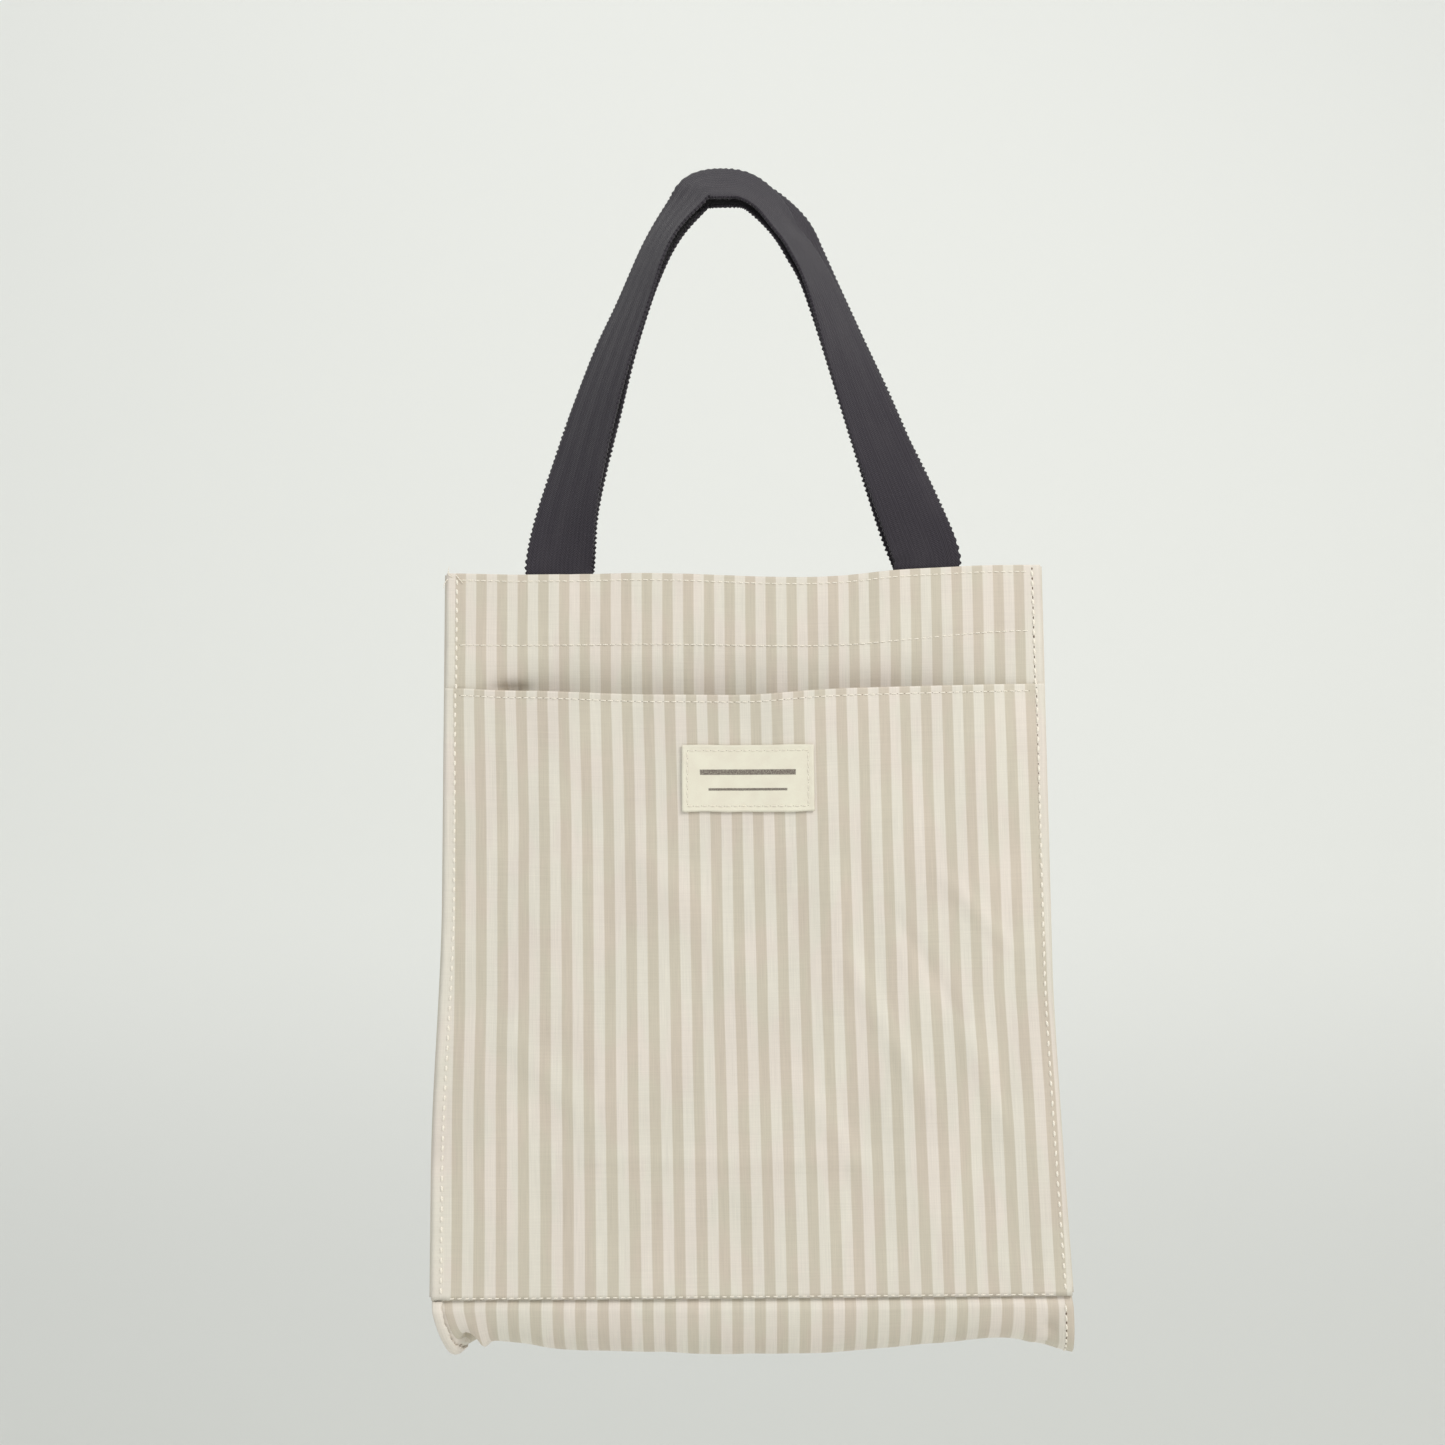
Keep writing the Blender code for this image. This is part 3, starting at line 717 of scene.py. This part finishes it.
def hole_shade_look(name):
    """Painted shade for the inside of a needle hole: a dark, rough brown that stands for the shadow in it."""
    net = Net(name)
    where = net.node("ShaderNodeTexCoord", {}).outputs["Object"]
    grain = net.node("ShaderNodeTexNoise", {"Vector": where, "Scale": 900.0, "Detail": 2.0}).outputs["Fac"]
    colour = net.mix(grain, (0.13, 0.095, 0.07), (0.26, 0.20, 0.15))
    return net.finish(colour, net.ramp(grain, 0.3, 0.7, 0.8, 0.95, "LINEAR"), grain, 0.00003,
                      Specular_IOR_Level=0.1)


BEIGE, CREAM = (0.582, 0.521, 0.427), (0.722, 0.670, 0.590)
cloth_look = canvas("striped_canvas_face", BEIGE, CREAM)
reverse_look = canvas("striped_canvas_reverse", (0.60, 0.54, 0.44), (0.71, 0.665, 0.57), 0.6)
strap_look = webbing_look("cotton_webbing_ribbed")
tape_look = label_look("label_tape_woven")
thread = thread_look("cream_thread_twisted", (0.93, 0.89, 0.79), (0.74, 0.67, 0.55))
# The needle holes' dark brown is painted shade, the shadow inside each hole.
needle_hole_shade = hole_shade_look("needle_hole_shade")


# Where the stripes fall: the place of a panel's first stripe, and their repeat
# The pocket's spread as it hangs: drop, first stripe and repeat

POCKET_STRIPES = (
    (0.060, -0.1288, 0.01009), (0.120, -0.1275, 0.01007), (0.200, -0.1271, 0.01011),
    (0.250, -0.1277, 0.01023), (0.300, -0.1274, 0.01028), (0.340, -0.1275, 0.01033),
)


def stripe_u(x, start, repeat):
    """Place across the striped cloth. The seam allowances at both edges of a panel are cream."""
    return np.clip((x - start) / repeat, -1.44, 26.93) * STRIPE


def pocket_stripes(x, drop):
    levels, starts, repeats = zip(*POCKET_STRIPES)
    return stripe_u(x, np.interp(drop, levels, starts), np.interp(drop, levels, repeats))


def turned(first, hem, last, count, inner=6):
    """(drop, out) down a sheet whose top is turned in: up the inner leaf, over the fold and down the outer
    leaf."""
    radius = LEAF_SPACING / 2
    top = first + radius + CLOTH / 2
    drops = list(np.linspace(first + hem, top + 0.001, inner * 2))
    outs = [-LEAF_SPACING] * (inner * 2)
    for step in range(9):
        angle = math.pi * step / 8
        drops.append(top - radius * math.sin(angle))
        outs.append(-radius - radius * math.cos(angle))
    rest = list(np.linspace(top, last, count))[1:]
    return np.array(drops + rest), np.array(outs + [0.0] * len(rest))


def piece(made, nodes, body=None, blend=None):
    """Let a piece stand for its CAD nodes, which are hidden, and ride on a body. Given `blend`, the piece is
    only fixed in place, and the bodies and places in it are not read.
    """
    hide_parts(*nodes)
    if blend:
        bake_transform(made)
    else:
        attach(made, body)
    return made


# Body of the bag

x = np.linspace(-HALF_WIDTH, HALF_WIDTH, 145)[None, :]
canvas_looks = [cloth_look, reverse_look]

drop, out = turned(0.0, HEM_DEPTH + 0.002, PANEL_LENGTH, 110)
points = front(x, drop[:, None], out[:, None])
uv = stacked(stripe_u(points[..., 0], -0.1287, 0.00995), drop[:, None])
front_cloth = piece(grid("front_cloth", points, uv, canvas_looks, CLOTH, -1.0), ["front_panel"],
                    "bag_front")

drop, out = turned(POCKET_DROP, POCKET_HEM, PANEL_LENGTH - 0.0003, 120, 3)
ragged = 0.0005 * np.abs(np.sin(math.pi * x / 0.0052)) * smooth((-0.088 - x) / 0.03)
ragged = ragged * smooth((drop[:, None] - PANEL_LENGTH + 0.004) / 0.003)
points = pocket(x, drop[:, None] - ragged, out[:, None])
uv = stacked(pocket_stripes(points[..., 0], drop[:, None]), drop[:, None])
pocket_cloth = piece(grid("pocket_cloth", points, uv, canvas_looks, CLOTH, -1.0), ["front_pocket"],
                     "bag_front")

drop, out = turned(0.0, HEM_DEPTH, BODY_HEIGHT, 110)
points = back(x, drop[:, None], out[:, None])
uv = stacked(stripe_u(points[..., 0], -0.1325, 0.0100), drop[:, None])
back_cloth = piece(grid("back_cloth", points, uv, canvas_looks, CLOTH), ["back_panel"],
                   "bag_back")

# The bottom's rows stand closer together at its ends, where it crumples, and its ends are cream
left_end, right_end = np.linspace(-HALF_WIDTH, -0.110, 34), np.linspace(0.110, HALF_WIDTH, 34)
fine_x = np.concatenate([left_end, np.linspace(-0.108, 0.108, 100), right_end])
turn = np.concatenate([np.zeros(3), np.linspace(0.0, 180.0, 61), np.full(3, 180.0)])
up = np.concatenate([[0.008, 0.005, 0.002], np.zeros(61), [0.002, 0.005, 0.008]])
points = bottom(fine_x[None, :], turn[:, None], up[:, None], 0.0)
stripes = stripe_u(flared(fine_x, PANEL_LENGTH), -0.1324, 0.01035)
stripes = np.where(fine_x < -0.1374, -0.25 * STRIPE, np.where(fine_x > 0.1395, 26.25 * STRIPE, stripes))
uv = stacked(stripes[None, :], run_along(points[:, len(fine_x) // 2])[:, None])
bottom_cloth = piece(
    grid("bottom_cloth", points, uv, canvas_looks, CLOTH, -1.0), ["bottom_panel"],
    blend=("bag_back", "bag_front", (0.0, -0.014, -0.53), (0.0, -0.024, -0.53)))

fold = -np.cos(np.radians(np.linspace(0.0, 180.0, 41)))
s = np.concatenate([[-2.0, -1.6, -1.2], fold, [1.2, 1.6, 2.0]])
for side, name in ((-1, "left"), (1, "right")):
    q = np.linspace(0.0, 1.0, 96)
    points = gusset(side, s[None, :], q[:, None])
    uv = stacked(run_along(points[40])[None, :] + 0.0055, q[:, None] * PANEL_LENGTH)
    piece(
        grid(f"gusset_{name}_cloth", points, uv, canvas_looks, CLOTH, -float(side)),
        [f"{name}_gusset"],
        blend=("bag_back", "bag_front", (0.0, 0.012, -0.30), (0.0, -0.012, -0.30)))

# The seam allowance of the left lower corner turns to the front and shows its pale reverse


def corner_flange(turn, a):
    worn = 0.00055 * noise(turn / 3.3, 0.0, 71) * smooth(1.0 - a / 0.4)
    return bottom(-FLANGE_X - 0.0007 - 0.0040 * a + worn, turn, 0.0, 0.0013 + 0.0007 * np.sin(math.pi * a))


turn, a = np.linspace(2.0, 104.0, 60)[:, None], np.linspace(0.0, 1.0, 8)[None, :]
points = corner_flange(turn, a)
uv = stacked(0.0065 + 0.003 * a, turn * 0.0003)
flange = grid("corner_flange_left", points, uv, [cloth_look], CLOTH, -1.0)
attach(flange, "bag_back")

# A few threads have worked loose where the hem's left end was cut


def loose_thread(start, bends):
    """Vertices and faces of one thread, from its start through offsets in mm."""
    count, ring = 24, 6
    way = [(0.0, 0.0, 0.0)] + [tuple(v / 1000 for v in bend) for bend in bends]
    line = np.array(start) + spline(way, np.linspace(0.0, len(way) - 1, count))
    run = unit(np.gradient(line, axis=0))
    side = unit(np.cross(run, (0.3, 1.0, 0.1)))
    up = np.cross(side, run)
    angle = (np.arange(ring) * 2 * math.pi / ring)[:, None]
    thin = 0.00020 * (1.0 - 0.5 * np.linspace(0.0, 1.0, count) ** 4)[:, None, None]
    rings = line[:, None, :] + thin * (side[:, None, :] * np.cos(angle) + up[:, None, :] * np.sin(angle))
    faces = [(k * ring + a, k * ring + (a + 1) % ring, (k + 1) * ring + (a + 1) % ring, (k + 1) * ring + a)
             for k in range(count - 1) for a in range(ring)]
    faces += [tuple(reversed(range(ring))), tuple(range((count - 1) * ring, count * ring))]
    return rings.reshape(-1, 3), faces


# Each loose thread: where it leaves the hem, as x and drop, and its bends in mm
LOOSE_THREADS = (
    (-0.1415, 0.0008, ((-0.6, -0.4, 1.8), (-0.2, -0.7, 3.8))),
    (-0.1385, 0.0010, ((1.4, -0.6, -1.6), (3.6, -0.5, -4.2))),
    (-0.1400, 0.0020, ((-1.6, -0.5, 0.8), (-2.6, -0.5, 2.6))),
    (-0.1425, 0.0030, ((-1.4, -0.4, -2.0), (-1.9, -0.4, -4.6))),
)
verts, faces = [], []
for start_x, start_drop, bends in LOOSE_THREADS:
    start = front(np.array([start_x]), np.array([start_drop]), CLOTH / 2)[0]
    more, sides_of = loose_thread(start, bends)
    faces += [tuple(v + len(verts) for v in face) for face in sides_of]
    verts += more.tolist()
spots = np.array([verts[v] for face in faces for v in face])
frayed = finished("frayed_corner", meshed("frayed_corner", verts, faces, spots[:, [0, 2]]), [thread])
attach(frayed, "bag_front")

# Label


def label(dx, fall, out):
    """On the pocket, its cut edges a little uneven and lifting."""
    lx, lf = dx / (LABEL_WIDTH / 2), (fall / LABEL_HEIGHT) * 2 - 1
    rim = np.maximum(np.abs(lx), np.abs(lf))
    dx = dx * (1.0 + 0.004 * noise(fall / 0.008, 0.0, 51) * smooth((rim - 0.7) / 0.3))
    fall = fall + 0.00025 * noise(dx / 0.010, lf, 52) * smooth((rim - 0.7) / 0.3)
    loosened = smooth(1.0 - (LABEL_DROP + fall - POCKET_DROP) / MOUTH_SAG_FADE)
    fall = fall + (keyed(LABEL_X, MOUTH_SAG) - keyed(LABEL_X + dx, MOUTH_SAG)) * loosened + LABEL_TILT * dx
    lifted = 0.00035 * smooth((rim - 0.90) / 0.10) + 0.00010 * noise(dx / 0.009, fall / 0.009, 53)
    return pocket(LABEL_X + dx, LABEL_DROP + fall, CLOTH / 2 + out + lifted)


dx = np.linspace(-LABEL_WIDTH / 2, LABEL_WIDTH / 2, 61)[None, :]
fall = np.linspace(0.0, LABEL_HEIGHT, 31)[:, None]
points = label(dx, fall, LABEL_OUT)
uv = stacked(dx, fall)
label_tape = piece(grid("label_tape_piece", points, uv, [tape_look], LABEL_THICKNESS), ["pocket_label"],
                   "bag_front")

# Webbing


def strap(name, path, facing, nodes, bodies):
    """One length of webbing. The turning weft scallops its edges slightly, and its face isn't quite flat."""
    centre, side, outward = webbing_rows(path, facing)
    run = run_along(centre)
    a = np.linspace(-0.5, 0.5, 29)
    edge = smooth((np.abs(a) - 0.40) / 0.10)[None, :]
    uneven = 1.0 + 0.5 * noise(run / 0.004, 0.0, 65 + facing)
    scallop = 0.00048 * (uneven * np.sin(2 * math.pi * run / 0.0025))[:, None] * edge * np.sign(a)[None, :]
    free = smooth(np.minimum(run - 0.045, run[-1] - 0.045 - run) / 0.03)[:, None]
    wave = free * (0.0007 * noise(run[:, None] / 0.030, a[None, :] * 1.3, 61 + facing)
                   + 0.0011 * (0.25 - a[None, :] ** 2) * noise(run / 0.05, 0.0, 63 + facing)[:, None])
    offset = a[None, :] * STRAP_WIDTH + scallop
    points = centre[:, None, :] + side[:, None, :] * offset[..., None] + outward[:, None, :] * wave[..., None]
    uv = stacked(a[None, :] * STRAP_WIDTH, run[:, None])
    made = grid(name, points, uv, [strap_look], STRAP_THICKNESS)
    y = facing * (BACK_Y - STRAP_IN)
    return piece(made, nodes,
                 blend=(*bodies, (0.0, y, HEM_TOP_Z - 0.002), (0.0, y, HEM_TOP_Z + 0.012)))


front_webbing = strap("front_webbing", FRONT_PATH, -1,
                      ["front_handle", "front_strap_end_left", "front_strap_end_right"],
                      ("bag_front", "front_handle"))
back_webbing = strap("back_webbing", BACK_PATH, 1,
                     ["back_handle", "back_strap_end_left", "back_strap_end_right"],
                     ("bag_back", "back_handle"))

# Stitching

FACE = CLOTH / 2
HEM_STITCH = dict(pitch=0.00325, share=0.91, hole=0.00015)
MOUTH_STITCH = dict(pitch=0.00335, share=0.80, hole=0.00020)
SIDE_STITCH = dict(pitch=0.0046, start=0.0012, width=0.00122, share=0.64, hole=0.00054)
BOTTOM_STITCH = dict(pitch=0.0040, width=0.00100, share=0.65, hole=0.00050)
LABEL_STITCH = dict(pitch=0.0036, width=0.00045, share=0.70, hole=0.00016)


def seam_side(x, drop, out):
    """The outer layer under a front side seam: the panel above the pocket's mouth and the pocket below it."""
    step = smooth((drop - POCKET_DROP + 0.001) / 0.003)[..., None]
    return front(x, drop, out) * (1 - step) + pocket(x, drop, out) * step


def row(name, body, place, length, **stitch):
    """A row of stitches that stands for the CAD thread of the same name."""
    made = stitches(f"stitches_{name}", place, length, looks=[thread, needle_hole_shade], **stitch)
    return piece(made, [f"thread_{name}"], body)


def level_row(surface, level, sunk=0.0):
    """A row across a panel at one drop, or at the drop that a function of x gives."""
    def place(t, o):
        x = t - ROW_END_X
        drop = level(x) if callable(level) else np.full_like(x, level)
        return surface(x, drop, o + FACE - sunk)
    return place


def side_row(surface, side):
    """A row down a side seam."""
    return lambda t, o: surface(side * seam_x(np.full_like(t, side), t), t, o + FACE)


def bottom_row(side):
    """A row round a short end of the bottom, from just behind the front seam to the back one."""
    def place(t, o):
        return bottom(np.full_like(t, side * BOTTOM_ROW_X), 6 + t / BOTTOM_ARC * 168, 0.0, o + FACE)
    return place


def gusset_row(side):
    """The row along a gusset's hem, and its length."""
    s = np.linspace(-0.96, 0.96, 90)
    line = gusset(side, s, np.full_like(s, HEM_ROW_LOW / PANEL_LENGTH))
    run = run_along(line)
    slope = unit(np.gradient(line, axis=0))
    normal = np.stack([slope[:, 1], -slope[:, 0], 0 * slope[:, 0]], axis=-1) * side

    def place(t, o):
        spot = np.stack([np.interp(t, run, line[:, k]) for k in range(3)], axis=-1)
        off = np.stack([np.interp(t, run, normal[:, k]) for k in range(3)], axis=-1)
        return spot + off * (np.asarray(o) + FACE)[..., None]
    return place, float(run[-1])


for name, body, place, stitch in (
    ("front_hem_top", "bag_front", level_row(front, HEM_ROW_TOP), HEM_STITCH),
    ("front_hem_lower", "bag_front", level_row(front, hem_row), HEM_STITCH),
    ("pocket_mouth", "bag_front", level_row(pocket, POCKET_DROP + POCKET_ROW), MOUTH_STITCH),
    ("back_hem_top", "bag_back", level_row(back, HEM_ROW_TOP), HEM_STITCH),
    ("back_hem_lower", "bag_back", level_row(back, HEM_ROW_LOW), HEM_STITCH),
    ("front_bottom", "bag_front", level_row(pocket, PANEL_LENGTH - 0.0011, 0.00012),
     dict(pitch=0.0033, width=0.0006)),
    ("back_bottom", "bag_back", level_row(back, BODY_HEIGHT - 0.0025, 0.00005), dict(pitch=0.0026)),
):
    row(name, body, place, 2 * ROW_END_X, **stitch)

for side, name in ((-1, "left"), (1, "right")):
    row(f"front_side_{name}", "bag_front", side_row(seam_side, side), PANEL_LENGTH - 0.0012, **SIDE_STITCH)
    row(f"back_side_{name}", "bag_back", side_row(back, side), BODY_HEIGHT - 0.0012, **SIDE_STITCH)
    row(f"bottom_{name}", "bag_back", bottom_row(side), BOTTOM_ARC, **BOTTOM_STITCH)
    place, length = gusset_row(side)
    row(f"gusset_hem_{name}", "bag_back", place, length, pitch=0.0030)

ring_x, ring_z = LABEL_WIDTH / 2 - LABEL_ROW, LABEL_HEIGHT / 2 - LABEL_ROW
corner_at = np.cumsum([0.0, 2 * ring_x, 2 * ring_z, 2 * ring_x, 2 * ring_z])


def label_row(t, o):
    dx = np.interp(t, corner_at, (-ring_x, ring_x, ring_x, -ring_x, -ring_x))
    fall = np.interp(t, corner_at, (-ring_z, -ring_z, ring_z, ring_z, -ring_z)) + LABEL_HEIGHT / 2
    return label(dx, fall, LABEL_OUT + LABEL_THICKNESS / 2 + o)


row("label", "bag_front", label_row, float(corner_at[-1]), **LABEL_STITCH)

# Floor, light and camera

FLOOR_Z = -1.15
SWEEP_RADIUS = 0.8
SWEEP_START_Y = 1.4

bend = np.linspace(0.0, math.pi / 2, 17)
profile = [(-6.0, FLOOR_Z)]
profile += zip(SWEEP_START_Y + SWEEP_RADIUS * np.sin(bend), FLOOR_Z + SWEEP_RADIUS * (1 - np.cos(bend)))
profile += [(SWEEP_START_Y + SWEEP_RADIUS, 4.0)]
verts = [(w, y, z) for y, z in profile for w in (-5.0, 5.0)]
faces = [(2 * k, 2 * k + 1, 2 * k + 3, 2 * k + 2) for k in range(len(profile) - 1)]
mesh = bpy.data.meshes.new("pale_sweep")
mesh.from_pydata(verts, [], faces)
paper = Net("pale_paper")
spot = paper.node("ShaderNodeSeparateXYZ", {0: paper.node("ShaderNodeTexCoord", {}).outputs["Object"]})
# Painted shade on the sweep: the floor by the wall is darker than the wall, standing for the light falling
# off lower down, and the floor nearer the bag is a paler grey.
shaded_paper_tone = paper.mix(paper.ramp(spot.outputs[2], FLOOR_Z, FLOOR_Z + SWEEP_RADIUS), (0.72, 0.73, 0.70),
                 (0.92, 0.93, 0.895))
shaded_paper_tone = paper.mix(paper.ramp(spot.outputs[1], 0.4, 1.4), (0.87, 0.875, 0.845), shaded_paper_tone)
grain = paper.node("ShaderNodeTexNoise", {"Scale": 40.0}).outputs["Fac"]
paper.finish(shaded_paper_tone, 0.9, grain, 0.0001)
sweep = finished("pale_sweep", mesh, [paper.material])

world = bpy.data.worlds.new("studio")
world.use_nodes = True
sky = world.node_tree.nodes["Background"]
sky.inputs["Color"].default_value = (0.96, 0.975, 0.98, 1.0)
sky.inputs["Strength"].default_value = 0.66
bpy.context.scene.world = world


def lamp(name, place, target, size, power, colour):
    data = bpy.data.lights.new(name, "AREA")
    data.shape = "SQUARE"
    data.size = size
    data.energy = power
    data.color = colour
    made = bpy.data.objects.new(name, data)
    made.location = place
    made.rotation_mode = "QUATERNION"
    made.rotation_quaternion = (Vector(target) - Vector(place)).to_track_quat("-Z", "Y")
    bpy.context.scene.collection.objects.link(made)


lamp("key", (1.3, -1.5, 1.3), (0.0, 0.0, -0.25), 1.0, 35.0, (1.0, 0.975, 0.945))
lamp("fill", (-1.6, -1.0, 0.2), (0.0, 0.0, -0.3), 1.4, 4.5, (0.95, 0.97, 1.0))
lamp("back_fill", (-0.5, 0.9, 2.6), (0.0, 0.6, -0.4), 2.5, 9.0, (1.0, 0.99, 0.97))

# The photograph's viewing angle: level with the bag's upper half, tipped up a little and not quite square
data = bpy.data.cameras.new("camera")
data.sensor_width = 36.0
data.lens = 38.99
data.clip_start = 0.05
camera = bpy.data.objects.new("camera", data)
camera.location = (-0.0114, -0.763, -0.2953)
tilt = Matrix.Rotation(math.radians(90.0 + 3.574), 4, "X")
yaw = Matrix.Rotation(math.radians(-0.056), 4, "Z")
roll = Matrix.Rotation(math.radians(-0.43), 4, "Z")
camera.rotation_mode = "QUATERNION"
camera.rotation_quaternion = (yaw @ tilt @ roll).to_quaternion()
bpy.context.scene.collection.objects.link(camera)
bpy.context.scene.camera = camera

# The photograph's near-white wall and pale cloth turn grey under the default view transform
bpy.context.scene.view_settings.view_transform = "Standard"
